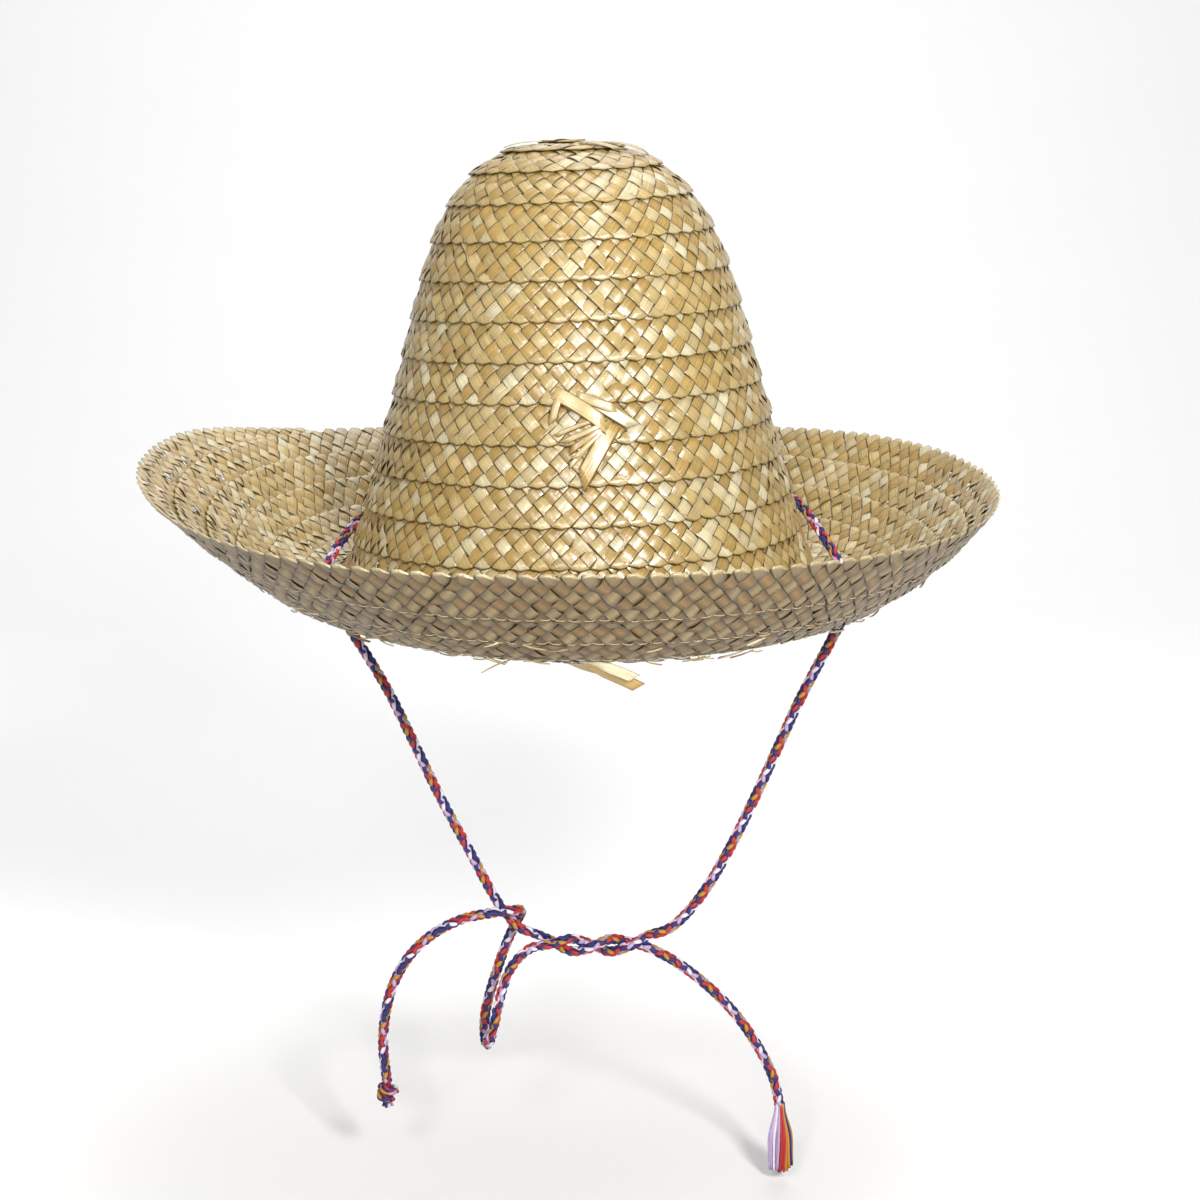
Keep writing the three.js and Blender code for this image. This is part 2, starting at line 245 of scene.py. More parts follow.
def add_node(tree, kind, settings=None, **inputs):
    node = tree.nodes.new(kind)
    for key, value in (settings or {}).items():
        setattr(node, key, value)
    for key, value in inputs.items():
        socket = node.inputs[key.replace("_", " ")]
        if isinstance(value, bpy.types.NodeSocket):
            tree.links.new(value, socket)
        else:
            socket.default_value = value
    return node


def noise_range(tree, noise, low, high):
    """The noise's useful range, spread from low to high."""
    spread = add_node(
        tree, "ShaderNodeMapRange", Value=noise, From_Min=0.3, From_Max=0.7, To_Min=low, To_Max=high
    )
    return spread.outputs["Result"]


MATTE_BACK = 0.16
RELIEF_DEPTH = 0.0002


def grained(name, roughness, fine, contrast, rough_spread, bump, **values):
    """A material that takes its colour from the tint attribute, streaked along the grain attribute.

    Where the tint's fourth value is 0, on the back face of a straw, it is rougher by MATTE_BACK.
    """
    material, tree, shader = new_material(name, roughness, **values)
    tint = add_node(tree, "ShaderNodeAttribute", {"attribute_name": "tint"})
    grain = add_node(tree, "ShaderNodeAttribute", {"attribute_name": "grain"})
    place = add_node(tree, "ShaderNodeMapping", Vector=grain.outputs["Vector"], Scale=fine)
    noise = add_node(
        tree, "ShaderNodeTexNoise", Vector=place.outputs["Vector"], Scale=1.0, Detail=3.0
    )
    streak = noise.outputs["Fac"]
    value = noise_range(tree, streak, 1 - contrast, 1 + contrast * 0.6)
    shade = add_node(tree, "ShaderNodeVectorMath", {"operation": "SCALE"}, Scale=value)
    tree.links.new(tint.outputs["Color"], shade.inputs[0])
    tree.links.new(shade.outputs["Vector"], shader.inputs["Base Color"])
    gloss = noise_range(tree, streak, roughness - rough_spread, roughness + rough_spread)
    matte = add_node(
        tree, "ShaderNodeMapRange",
        Value=tint.outputs["Alpha"], From_Min=0.0, From_Max=1.0, To_Min=MATTE_BACK, To_Max=0.0,
    )
    rough = add_node(tree, "ShaderNodeMath", {"operation": "ADD"})
    tree.links.new(gloss, rough.inputs[0])
    tree.links.new(matte.outputs["Result"], rough.inputs[1])
    tree.links.new(rough.outputs["Value"], shader.inputs["Roughness"])
    relief = add_node(tree, "ShaderNodeBump", Height=streak, Strength=bump, Distance=RELIEF_DEPTH)
    tree.links.new(relief.outputs["Normal"], shader.inputs["Normal"])
    return material


STRAW = grained("straw", 0.25, (0.12, 2.6, 1.0), 0.26, 0.07, 0.45, Specular_IOR_Level=0.8)
YARN = grained("yarn", 0.62, (0.9, 5.0, 1.0), 0.22, 0.05, 0.5)
THREAD, _, _ = new_material("nylon_thread", 0.1, Base_Color=(0.5, 0.42, 0.26, 1), IOR=1.6)

# ---------------------------------------------------------------- camera
CAMERA_PITCH = 11.6

camera = bpy.data.objects.new("camera", bpy.data.cameras.new("camera"))
bpy.context.scene.collection.objects.link(camera)
camera.data.lens = 69
camera.data.sensor_width = 36
camera.data.shift_x = 0.0167
camera.location = (0, -0.912, 0.1715)
camera.rotation_euler = (math.radians(90 - CAMERA_PITCH), 0, 0)
camera.data.clip_end = 20
bpy.context.scene.camera = camera

# ---------------------------------------------------------------- woven plait
# Each strand crosses the plait in a straight length of straw, folds over at the edge and crosses back.
STRANDS = 5
CROSSINGS = 5
TRAVERSE = 17.5
STRAND_OFFSET = 2 * TRAVERSE / STRANDS
CROSSING = TRAVERSE / CROSSINGS
STATION_PARTS = (0.36, 0.64, 1.0)
STATIONS = np.array([0.0] + [n + part for n in range(CROSSINGS) for part in STATION_PARTS])

# A straw's width and section: points as (side, crown), from edge to edge and back, and whether each is on
# the upper side (1), an edge (0) or the lower side (-1)
STRAW_HALF = 3.72
HALF_PROFILE = [(-1.0, 0.0), (-0.78, 0.13), (0.0, 0.23), (0.78, 0.13)]
PROFILE = HALF_PROFILE + [(-s, -c) for s, c in HALF_PROFILE]
UPPER = np.array([0.0, 1, 1, 1, 0, -1, -1, -1])
SIDES = len(PROFILE)

# How far a straw rises and falls over its neighbours, and how flat the crests are
WEAVE = 0.42
CREST = 0.75

# The fold at the edge: it bulges outward, more so on the rim, where it makes a tooth
FOLD_MARGIN = 1.55
FOLD_THICKNESS = 1.3
SQUARE_WITHIN = 1.3
EDGE_BEAT = 0.3
FOLD_BULGE, RIM_BULGE = 1.2, 2.3
BULGE_SPREAD, RIM_BULGE_SPREAD = 1.2, 0.1
RIM_SKEW = 0.35
END_BULGE_SHARE = 0.55
RIM_LENGTH = 1000

# Handmade unevenness, as standard deviations
FOLD_JITTER, SLIDE_JITTER = 0.22, 0.22
LIFT_JITTER, TILT_JITTER, WIDTH_JITTER = 0.035, 0.12, 0.035
TILT_REACH = 2.2

GOLD, PALE, SILVER = linear("a5884c"), linear("b29b65"), linear("cabf9c")
OCHRE, GREY = linear("7e602d"), linear("8b764c")
PALEST_STRAWS = 0.3
# Share of SILVER mixed into the folds on the rim, a painted highlight on the rim teeth
RIM_PAINTED_HIGHLIGHT = 0.6
# Painted shade at a straw's edges, and a little beside them, for the gaps between straws
EDGE_PAINTED_SHADE, SIDE_PAINTED_SHADE = 0.36, 0.9
# How much painted shade darkens a straw where it dives under its neighbour, on its front and on its back
# face
FRONT_PAINTED_CREVICE_SHADE, BACK_PAINTED_CREVICE_SHADE = 0.16, 0.72

# The grain runs along the straw, and each length of straw takes its own part of it
DIAGONAL = 1.414
GRAIN_ACROSS = 3.4
GRAIN_APART = 9.7


def straw_colours(count):
    """Front and back colour of each straw length, front and back faces alternating along a strand."""
    warm = rng.random(count)
    # The fronts of straws heading one way are GOLD and of those heading the other way PALE: partly the
    # straws' own tones, partly a painted sheen
    front_up = (np.arange(count) % 2 == 0)[:, None]
    # The palest straws, chosen at random and mixed towards SILVER, are partly random tone and partly
    # painted glints
    pale = np.clip((warm - (1 - PALEST_STRAWS)) / PALEST_STRAWS, 0, 1)[:, None]
    front = np.where(front_up, GOLD, PALE) * (1 - pale) + SILVER * pale
    back = np.where(front_up, GREY, OCHRE)
    bright = (0.9 + 0.2 * rng.random(count))[:, None]
    return front * bright, back * bright


def strand_rings(k):
    """Strand k along the whole plait, one row for each ring, and the colours of its lengths of straw.

    A row is: distance along the plait, share of its width, lift, side it heads for, 1 at a fold, tilt,
    number of the straw length, crossings behind it, width.
    """
    count = int(SPINE_LENGTH[-1] / TRAVERSE) + 2
    fold_jitter = rng.normal(0, FOLD_JITTER, count + 1)
    slide = rng.normal(0, SLIDE_JITTER, count + 1)
    lift = rng.normal(0, LIFT_JITTER, count)
    tilt = rng.normal(0, TILT_JITTER, count)
    wider = 1 + rng.normal(0, WIDTH_JITTER, count)
    front, back = straw_colours(count)
    rows = []
    for n in range(count):
        start = TRAVERSE * n + STRAND_OFFSET * k - STRAND_OFFSET * STRANDS / 2
        out = 1 if n % 2 == 0 else -1
        for q in STATIONS:
            share = q / CROSSINGS
            along = start + q * CROSSING + slide[n] * (1 - share) + slide[n + 1] * share
            reach = 1 + (fold_jitter[n] * (1 - share) + fold_jitter[n + 1] * share) / TRAVERSE
            wide = out * (share - 0.5) * reach
            rows.append((along, wide, lift[n], out, 0.0, tilt[n], n, q, wider[n]))
        along = start + TRAVERSE + slide[n + 1]
        wide = out * 0.5 * (1 + fold_jitter[n + 1] / TRAVERSE)
        rows.append((along, wide, 0.0, out, 1.0, 0.0, n, CROSSINGS, 1.0))
    return np.array(rows), front, back


def straw_shades(s, up, face, folded, rim, wave, front, back):
    """Colours of one line of vertices along a strand, with the share of front face as the fourth value.
    They hold painted shade at the straw's edges and where it dives under its neighbour, and a painted
    highlight on the rim teeth.
    """
    sided = np.where(face * up > 0, 1.0, np.where(up == 0, 0.5, 0.0))
    # On the rim the folds take the full front colour, part of the rim teeth's painted highlight
    front_share = np.where(folded, 0.6 + 0.4 * rim, sided)
    shade = front * front_share[:, None] + back * (1 - front_share[:, None])
    # Painted highlight: the rim teeth are mixed towards SILVER
    rim_highlight = (RIM_PAINTED_HIGHLIGHT * rim * folded)[:, None]
    shade = shade * (1 - rim_highlight) + SILVER * rim_highlight
    # Painted shade: the straw is darkest at its edges and a little darker beside them
    edge = EDGE_PAINTED_SHADE if up == 0 else (1.0 if s == 0 else SIDE_PAINTED_SHADE)
    # Painted shade: each length of straw grows darker towards where it dives under its neighbour, more so
    # on its back face
    shown = smooth(0.2, 1.0, wave * face * up)
    front_crevice_painted = 1 - FRONT_PAINTED_CREVICE_SHADE + FRONT_PAINTED_CREVICE_SHADE * shown
    back_crevice_painted = 1 - BACK_PAINTED_CREVICE_SHADE + BACK_PAINTED_CREVICE_SHADE * shown
    painted_crevice_shade = np.where(face * up > 0, front_crevice_painted, np.where(face * up < 0, back_crevice_painted, 1.0))
    return np.hstack([shade * edge * painted_crevice_shade[:, None], front_share[:, None]])


def strand_mesh(k):
    """Vertices, colours, grain and turn of every ring of strand k, each with SIDES vertices a ring."""
    rows, front, back = strand_rings(k)
    rows = rows[(rows[:, 0] > STRAW_HALF) & (rows[:, 0] < SPINE_LENGTH[-1] - STRAW_HALF)]
    along, wide, lift, out, fold, tilt, index, q, wider = rows.T
    index = index.astype(int)
    folded = fold > 0
    end = (q == 0) | (q == CROSSINGS)
    square = smooth(0, SQUARE_WITHIN, q) * smooth(0, SQUARE_WITHIN, CROSSINGS - q)
    usable = 1 - 2 * FOLD_MARGIN / PLAIT_WIDTH
    face = np.where(folded, 0, out)
    rim = np.where((along > SPINE_LENGTH[-1] - RIM_LENGTH) & (wide > 0), 1.0, 0.0)
    length = index * TRAVERSE * DIAGONAL + np.where(folded, TRAVERSE, q * CROSSING) * DIAGONAL
    points, colours, grain = [], [], []
    for (s, c), up in zip(PROFILE, UPPER):
        aside = s * STRAW_HALF * wider
        slide = -aside / 2 * square
        turn = np.interp(along + aside + slide, SPINE_LENGTH, TURNS)
        inner, outer = plait_edges(turn)
        width = outer - inner
        squeeze = np.clip(width / PLAIT_WIDTH, 0.15, 1)
        beats = q + (1 - square) * s * STRAW_HALF / 2 / CROSSING
        beat = np.cos(math.pi * np.clip(beats, EDGE_BEAT, CROSSINGS - EDGE_BEAT))
        wave = np.sign(beat) * np.abs(beat) ** CREST
        height = np.where(folded, 0, WEAVE * wave + lift)
        spread = BULGE_SPREAD + RIM_BULGE_SPREAD * rim
        bulge = (FOLD_BULGE + RIM_BULGE * rim) * (1 - abs(s - RIM_SKEW * rim) / spread)
        pushed = np.where(folded, bulge, np.where(end, END_BULGE_SHARE * bulge, 0.0)) * np.sign(wide)
        across = wide * usable * width + (out * slide + pushed - fold * c * FOLD_THICKNESS) * squeeze
        rise = height + face * c + tilt * s * TILT_REACH * (1 - fold)
        points.append(plait_point(turn, 0.5 + across / width, rise))
        colours.append(straw_shades(s, up, face, folded, rim, wave, front[index], back[index]))
        place = np.full(len(length), s * GRAIN_ACROSS) + index * GRAIN_APART
        grain.append(np.stack([length, place, index * 1.3 + k * 50], -1))
    middle_turn = np.interp(along, SPINE_LENGTH, TURNS)
    return np.stack(points, 1), np.stack(colours, 1), np.stack(grain, 1), middle_turn


def weave_pieces():
    """One piece for each turn of the plait, from the tip to the rim, cut from the same five strands."""
    strands = [strand_mesh(k) for k in range(STRANDS)]
    names = ["crown_tip"] + [f"crown_round_{i:02d}" for i in range(1, CROWN_TURNS)]
    names += [f"brim_round_{i:02d}" for i in range(1, BRIM_TURNS + 1)]
    for number, name in enumerate(names):
        low = TIP_START if number == 0 else number
        parts = []
        for points, colours, grain, turn in strands:
            inside = np.flatnonzero((turn >= low) & (turn < number + 1))
            if len(inside) < 2:
                continue
            first, last = inside[0], min(inside[-1] + 1, len(turn) - 1)
            part = slice(first, last + 1)
            parts.append((
                points[part].reshape(-1, 3), tube_faces(last + 1 - first, SIDES),
                colours[part].reshape(-1, 4), grain[part].reshape(-1, 3),
            ))
        dressed_piece("woven_" + name, merged(parts), STRAW, "straw", name)


weave_pieces()

# ---------------------------------------------------------------- sewing thread
STITCH = 5.2
THREAD_RADIUS = 0.13
THREAD_FROM_EDGE = 2.5
THREAD_BELOW = 0.72
STITCH_DIPS = np.array([0.75, 0.0, 0.0, 0.0, 0.4])


def thread_piece(name, node, start, end):
    """Stitches along a seam, on the underside, where the thread goes up into the straw once a stitch."""
    length = np.interp([start, end], TURNS, SPINE_LENGTH)
    along = np.arange(length[0], length[1], STITCH / len(STITCH_DIPS))
    turn = np.interp(along, SPINE_LENGTH, TURNS)
    distance = plait_edges(turn)[0] + THREAD_FROM_EDGE
    dip = STITCH_DIPS[np.arange(len(along)) % len(STITCH_DIPS)]
    drift = 0.35 * np.sin(along * 0.31) + 0.25 * np.sin(along * 0.083)
    under = layer_height(distance, turn) - THREAD_BELOW + dip
    azimuth = 90 - 360 * turn
    ring = [
        hat_point(distance + drift + a * THREAD_RADIUS, azimuth, under + b * THREAD_RADIUS)
        for a, b in ((-1, 0), (0, 1), (1, 0), (0, -1))
    ]
    points = np.stack(ring, 1).reshape(-1, 3)
    piece = mesh_piece(name, points, tube_faces(len(along), len(ring)), THREAD)
    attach(piece, "root")
    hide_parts(node)


thread_piece("crown_stitches", "crown_seam_thread", 1, CROWN_TURNS - 0.25)
thread_piece("brim_stitches", "brim_seam_thread", CROWN_TURNS, PLAIT_END - 0.125)

# ---------------------------------------------------------------- cut straws at the splices
CUT_STRAW_THICKNESS = 1.1
CUT_SHARPNESS = 6
RING_SPACING = 3.0


def flat_straw(route, width, cut=0.5, roll=0, steps=9):
    """Rings of a cut straw lying on the hat.

    route is (azimuth, distance, height) at its start, middle and end, cut is how slanting its end is,
    and roll is how far it turns over, in degrees.
    """
    share = np.linspace(0, 1, steps)
    t = share[:, None]
    a, b, c = (np.array(x, float) for x in route)
    place = (1 - t) ** 2 * a + 2 * t * (1 - t) * b + t**2 * c
    azimuth, distance, height = place.T
    centre = hat_point(distance, azimuth, height)
    normal = hat_point(distance, azimuth, height + 1) - centre
    heading = np.gradient(centre, axis=0)
    heading /= np.linalg.norm(heading, axis=1)[:, None]
    across = np.cross(heading, normal)
    angle = np.radians(roll * smooth(0, 0.6, share))[:, None]
    across, normal = (
        across * np.cos(angle) + normal * np.sin(angle),
        normal * np.cos(angle) - across * np.sin(angle),
    )
    skew = t**CUT_SHARPNESS * cut * width
    ring = [
        centre + across * s * width / 2 + normal * c * CUT_STRAW_THICKNESS + heading * skew * s
        for s, c in PROFILE
    ]
    return np.stack(ring, 1).reshape(-1, 3)


def straw_bundle(name, straws, *nodes):
    """Several cut straws as one piece. Each is a route, a width, a cut and, for some, a roll and steps."""
    parts = []
    for number, (route, width, cut, *roll) in enumerate(straws):
        made = flat_straw(route, width, cut, *roll)
        rings = len(made) // SIDES
        shade = (GOLD, PALE, SILVER, PALE)[number % 4] * (0.85 + 0.25 * rng.random())
        # Painted shade: the cut straws are darker at their edges
        edge = np.tile(np.where(UPPER == 0, 0.6, 1.0), rings)[:, None]
        length = np.repeat(np.arange(rings) * RING_SPACING, SIDES)
        side = np.tile([s * width / 2 for s, _ in PROFILE], rings)
        grain = np.stack([length, side + number * 7.1, length * 0 + 900 + number], -1)
        parts.append((made, tube_faces(rings, SIDES), shiny(shade * edge), grain))
    dressed_piece(name, merged(parts), STRAW, "straw", *nodes)


straw_bundle("crown_splice_straws", [
    (((-80.5, 138.5, 1.2), (-85, 148, 3.0), (-89.5, 159.5, 2.6)), 6.2, -0.55),
    (((-97.5, 127, 1.4), (-90, 131, 2.6), (-83, 139, 2.2)), 5.4, 0.5),
    (((-87, 129.5, 1.3), (-82, 133, 2.2), (-75, 139.5, 1.9)), 4.6, -0.4),
    (((-82, 138.5, 1.6), (-88, 141, 3.0), (-94.5, 145.5, 2.2)), 2.3, 0.7),
    (((-82.5, 139.5, 1.7), (-87, 143, 2.8), (-92.5, 148.5, 2.3)), 2.5, -0.6),
    (((-83, 140.5, 1.8), (-87, 145, 2.6), (-91.5, 151.5, 2.4)), 1.9, 0.5),
    (((-84, 141.5, 1.7), (-88, 147, 2.3), (-92.5, 154, 2.1)), 1.5, -0.5),
    (((-85, 137, 1.6), (-91, 139, 2.7), (-96.5, 143, 2.0)), 1.7, 0.4),
    (((-95, 126.5, 1.3), (-97, 132, 2.1), (-97.5, 138, 1.8)), 3.0, 0.5),
    (((-91, 128, 1.5), (-86, 130, 2.6), (-79.5, 133.5, 2.0)), 3.8, 0.5),
], "crown_splice_end")
straw_bundle("brim_splice_straws", [
    (((-91, 240, -1.3), (-86, 241.5, -3.2), (-80.5, 243, -10.5)), 5.4, 0.5, 62),
    (((-90.5, 237.5, -1.3), (-87, 238, -2.8), (-82.5, 238.5, -7.5)), 4.8, -0.6, 55),
    (((-89, 243.5, -1.2), (-85, 245, -3.2), (-81.5, 246.5, -7.8)), 4.4, 0.6, 70),
    (((-93, 236, -1.2), (-90, 235, -2.4), (-86.5, 233.5, -5.0)), 3.0, 0.6, 50),
    (((-102, 240, -1.2), (-104, 240.5, -2.6), (-106.5, 241, -6.5)), 0.5, 0.3),
], "brim_splice_end")
straw_bundle("tip_straw_ends", [
    (((-40, 16, 1.4), (-32, 24, 3.0), (-28, 31, 3.2)), 4.6, 0.5),
    (((-75, 14, 1.3), (-60, 20, 2.4), (-50, 27, 2.2)), 4.2, -0.4),
    (((-150, 13, 1.2), (-165, 20, 2.4), (-176, 26, 2.0)), 4.0, 0.5),
])


SLIVER_STEPS = 5


def seam_slivers(first_turn, last_turn, count):
    """Short broken straw ends that stick out along the inner edge of the plait, on the underside."""
    straws = []
    for turn in np.sort(rng.uniform(first_turn, last_turn, count)):
        azimuth = 90 - 360 * turn
        distance = plait_edges(turn)[0] + rng.uniform(-0.5, 3.0)
        under = layer_height(distance, turn) - 0.9
        sweep = rng.uniform(2.0, 4.0) * rng.choice([-1, 1])
        inward = rng.uniform(-3.0, 1.0)
        route = (
            (azimuth, distance, under),
            (azimuth + sweep / 2, distance + inward / 2, under - 0.9),
            (azimuth + sweep, distance + inward, under - rng.uniform(0.4, 1.2)),
        )
        width = rng.uniform(0.6, 1.8)
        cut = rng.uniform(-0.6, 0.6)
        roll = rng.uniform(-40, 40)
        straws.append((route, width, cut, roll, SLIVER_STEPS))
    return straws


straw_bundle("brim_seam_slivers", seam_slivers(13.2, 18.2, 240))
straw_bundle("crown_seam_slivers", seam_slivers(6.0, 12.6, 60))

# ---------------------------------------------------------------- chin cord, routes in metres
# Each hole is (azimuth, turn of the plait it goes through)
LEFT_HOLE, RIGHT_HOLE = (-172, 13.7278), (-8.5, 14.2736)
CORD_ABOVE_HOLE, CORD_BELOW_HOLE = 4, 3
BACK_CORD_START, BACK_CORD_END = (194, 168), (186, 10)
BACK_CORD_HEIGHT = 4.8
BACK_CORD_POINTS = 13
LEFT_STRAND = [
    (-0.0968, -0.014, -0.016), (-0.0915, -0.015, -0.025), (-0.0845, -0.016, -0.036),
    (-0.077, -0.017, -0.049), (-0.0706, -0.018, -0.062), (-0.0643, -0.018, -0.076),
    (-0.058, -0.018, -0.09), (-0.0518, -0.018, -0.1025), (-0.0458, -0.018, -0.114),
    (-0.0402, -0.0185, -0.125), (-0.0345, -0.0195, -0.1355), (-0.0285, -0.0202, -0.144),
    (-0.0233, -0.0204, -0.1486),
]
TWIST_FROM_LEFT = [
    (-0.02, -0.02, -0.1499), (-0.012, -0.0174, -0.1543), (-0.004, -0.02, -0.158),
    (0.004, -0.0226, -0.1558), (0.012, -0.02, -0.153), (0.02, -0.0174, -0.155),
    (0.028, -0.02, -0.1566),
]
RIGHT_TAIL = [
    (0.0313, -0.02, -0.1582), (0.038, -0.0197, -0.162), (0.0465, -0.0192, -0.1684),
    (0.057, -0.0187, -0.178), (0.067, -0.0182, -0.19), (0.075, -0.018, -0.203),
    (0.0804, -0.018, -0.215), (0.0828, -0.018, -0.2258),
]
RIGHT_STRAND = [
    (0.1042, -0.016, -0.02), (0.0996, -0.0166, -0.03), (0.0934, -0.0172, -0.042),
    (0.087, -0.018, -0.055), (0.0798, -0.018, -0.072), (0.0702, -0.018, -0.0945),
    (0.0604, -0.018, -0.1156), (0.0512, -0.0185, -0.132), (0.0432, -0.0192, -0.1425),
    (0.0358, -0.0198, -0.1488),
]
TWIST_FROM_RIGHT = [
    (0.028, -0.02, -0.1514), (0.02, -0.0226, -0.155), (0.012, -0.02, -0.1582),
    (0.004, -0.0174, -0.1558), (-0.004, -0.02, -0.1528), (-0.012, -0.0224, -0.1544),
    (-0.02, -0.0212, -0.1564),
]
LEFT_TAIL = [
    (-0.0273, -0.0234, -0.1628), (-0.031, -0.0266, -0.17), (-0.0334, -0.029, -0.179),
    (-0.0352, -0.03, -0.1875), (-0.037, -0.027, -0.1947), (-0.0386, -0.02, -0.1979),
    (-0.0396, -0.013, -0.1947), (-0.039, -0.0102, -0.187), (-0.033, -0.0092, -0.166),
    (-0.029, -0.0094, -0.1552), (-0.0254, -0.0124, -0.1466), (-0.0241, -0.0185, -0.1412),
    (-0.0277, -0.0247, -0.139), (-0.0354, -0.0282, -0.1388), (-0.0465, -0.0286, -0.141),
    (-0.058, -0.0276, -0.147), (-0.0685, -0.026, -0.157), (-0.076, -0.024, -0.1705),
    (-0.08, -0.022, -0.186), (-0.081, -0.0206, -0.201), (-0.0798, -0.02, -0.2145),
]


def hole_point(hole, offset):
    """The point at an offset above the middle of the plait on a hole's axis."""
    azimuth, turn = hole
    distance = middle_of_turn(turn)
    return hat_point(distance, azimuth, offset)


def between(u, v, low, high, t):
    """The line through u at low and v at high, at t."""
    return (high - t) / (high - low) * u + (t - low) / (high - low) * v


def spline(points, spacing):
    """A centripetal curve through mm points, resampled at an even spacing, and its length."""
    p = np.asarray(points, float)
    p = np.vstack([2 * p[0] - p[1], p, 2 * p[-1] - p[-2]])
    dense = []
    for i in range(1, len(p) - 2):
        a, b, c, d = p[i - 1], p[i], p[i + 1], p[i + 2]
        t0 = 0.0
        t1 = t0 + np.linalg.norm(b - a) ** 0.5
        t2 = t1 + np.linalg.norm(c - b) ** 0.5
        t3 = t2 + np.linalg.norm(d - c) ** 0.5
        t = np.linspace(t1, t2, 25)[:-1, None]
        a1 = between(a, b, t0, t1, t)
        a2 = between(b, c, t1, t2, t)
        a3 = between(c, d, t2, t3, t)
        b1 = between(a1, a2, t0, t2, t)
        b2 = between(a2, a3, t1, t3, t)
        dense.append(between(b1, b2, t1, t2, t))
    dense = np.vstack(dense + [p[-2][None]])
    length = np.concatenate([[0], np.cumsum(np.linalg.norm(np.diff(dense, axis=0), axis=1))])
    count = int(round(length[-1] / spacing)) + 1
    even = np.linspace(0, length[-1], count)
    return np.stack([np.interp(even, length, dense[:, i]) for i in range(3)], 1), length[-1]


def frames_along(line):
    """Tangents and two normals carried along a line without twisting."""
    tangent = np.gradient(line, axis=0)
    tangent /= np.linalg.norm(tangent, axis=1)[:, None]
    first = np.cross(tangent[0], [0.3, 1.0, 0.2])
    normals = [first / np.linalg.norm(first)]
    for t in tangent[1:]:
        n = normals[-1] - t * np.dot(normals[-1], t)
        normals.append(n / np.linalg.norm(n))
    normals = np.array(normals)
    return tangent, normals, np.cross(tangent, normals)


RED, NAVY, WHITE = linear("a82326"), linear("221f66"), linear("d6cbd6")
YELLOW, LILAC = linear("ad7a22"), linear("a994b8")
YARN_COLOURS = [RED, NAVY, WHITE, RED, NAVY, LILAC, YELLOW, NAVY]
YARNS = len(YARN_COLOURS)
YARN_SIDES = 6
YARN_STEP = 0.55
YARN_HALF_WIDTH, YARN_HALF_THICKNESS = 0.84, 0.46
BRAID_LAY = 23.0
BRAID_RADIUS, BRAID_WAVE = 1.44, 0.34
CORE_RADIUS = 1.2
CORE_SHADE = 0.4
GOLDEN_ANGLE = 2.39996


def round_rings(line, n1, n2, radius):
    """Vertices of a round tube along a line, YARN_SIDES to a ring."""
    angles = np.linspace(0, 2 * math.pi, YARN_SIDES + 1)[:-1]
    ring = [line + radius * (math.cos(a) * n1 + math.sin(a) * n2) for a in angles]
    return np.stack(ring, 1).reshape(-1, 3)


def yarn_shade(shade):
    """A loose yarn's colour, a little darker or lighter than its dye."""
    return shade * (0.9 + 0.2 * rng.random())


def braid(line, scale=1.0, phase=0.0):
    """Eight yarns, four each way, over one and under one, round a core.

    Returns points, faces, colours and grain.
    """
    tangent, n1, n2 = frames_along(line)
    count = len(line)
    step = np.linalg.norm(np.diff(line, axis=0), axis=1).mean()
    along = np.arange(count) * step
    turned = 2 * math.pi * along / (BRAID_LAY * scale)
    parts = []
    for yarn in range(YARNS):
        clockwise = yarn % 2 == 0
        place = (yarn // 2) * math.pi / 2 + (0 if clockwise else math.pi / 4)
        angle = (turned if clockwise else -turned) + place + phase
        over = np.cos(4 * turned + (0 if clockwise else math.pi))
        radius = scale * (BRAID_RADIUS + BRAID_WAVE * over)
        out = np.cos(angle)[:, None] * n1 + np.sin(angle)[:, None] * n2
        centre = line + out * radius[:, None]
        heading = np.gradient(centre, axis=0)
        heading /= np.linalg.norm(heading, axis=1)[:, None]
        across = np.cross(heading, out)
        ring = []
        for i in range(YARN_SIDES):
            a = 2 * math.pi * i / YARN_SIDES
            beside = across * math.cos(a) * YARN_HALF_WIDTH
            ring.append(centre + scale * (beside + out * math.sin(a) * YARN_HALF_THICKNESS))
        made = np.stack(ring, 1).reshape(-1, 3)
        shade = YARN_COLOURS[(yarn * 3) % YARNS] * (0.92 + 0.16 * rng.random())
        # Painted shade: each yarn is darker where it dips under the crossing yarns
        low = 0.78 + 0.22 * np.repeat(np.clip(over, 0, 1), YARN_SIDES)[:, None]
        side = np.tile(np.arange(YARN_SIDES) * 0.5, count)
        grain = np.stack([np.repeat(along, YARN_SIDES), side, side * 0 + yarn * 11.3], -1)
        parts.append((made, tube_faces(count, YARN_SIDES), shiny(shade * low), grain))
    core = round_rings(line, n1, n2, scale * CORE_RADIUS)
    core_colours = shiny(np.tile(NAVY * CORE_SHADE, (len(core), 1)))
    parts.append((core, tube_faces(count, YARN_SIDES), core_colours, np.zeros((len(core), 3))))
    return merged(parts)


def single_yarn(line, radius, shade, number):
    """One loose yarn as a thin tube that narrows a little at its cut end."""
    _, n1, n2 = frames_along(line)
    count = len(line)
    taper = np.linspace(1.0, 0.8, count)[:, None]
    made = round_rings(line, n1, n2, radius * taper)
    colours = shiny(np.tile(shade, (len(made), 1)))
    length = np.repeat(np.arange(count) * 1.5, YARN_SIDES)
    side = np.tile(np.arange(YARN_SIDES) * 0.4, count)
    grain = np.stack([length, side, side * 0 + number * 3.7], -1)
    return made, tube_faces(count, YARN_SIDES), colours, grain


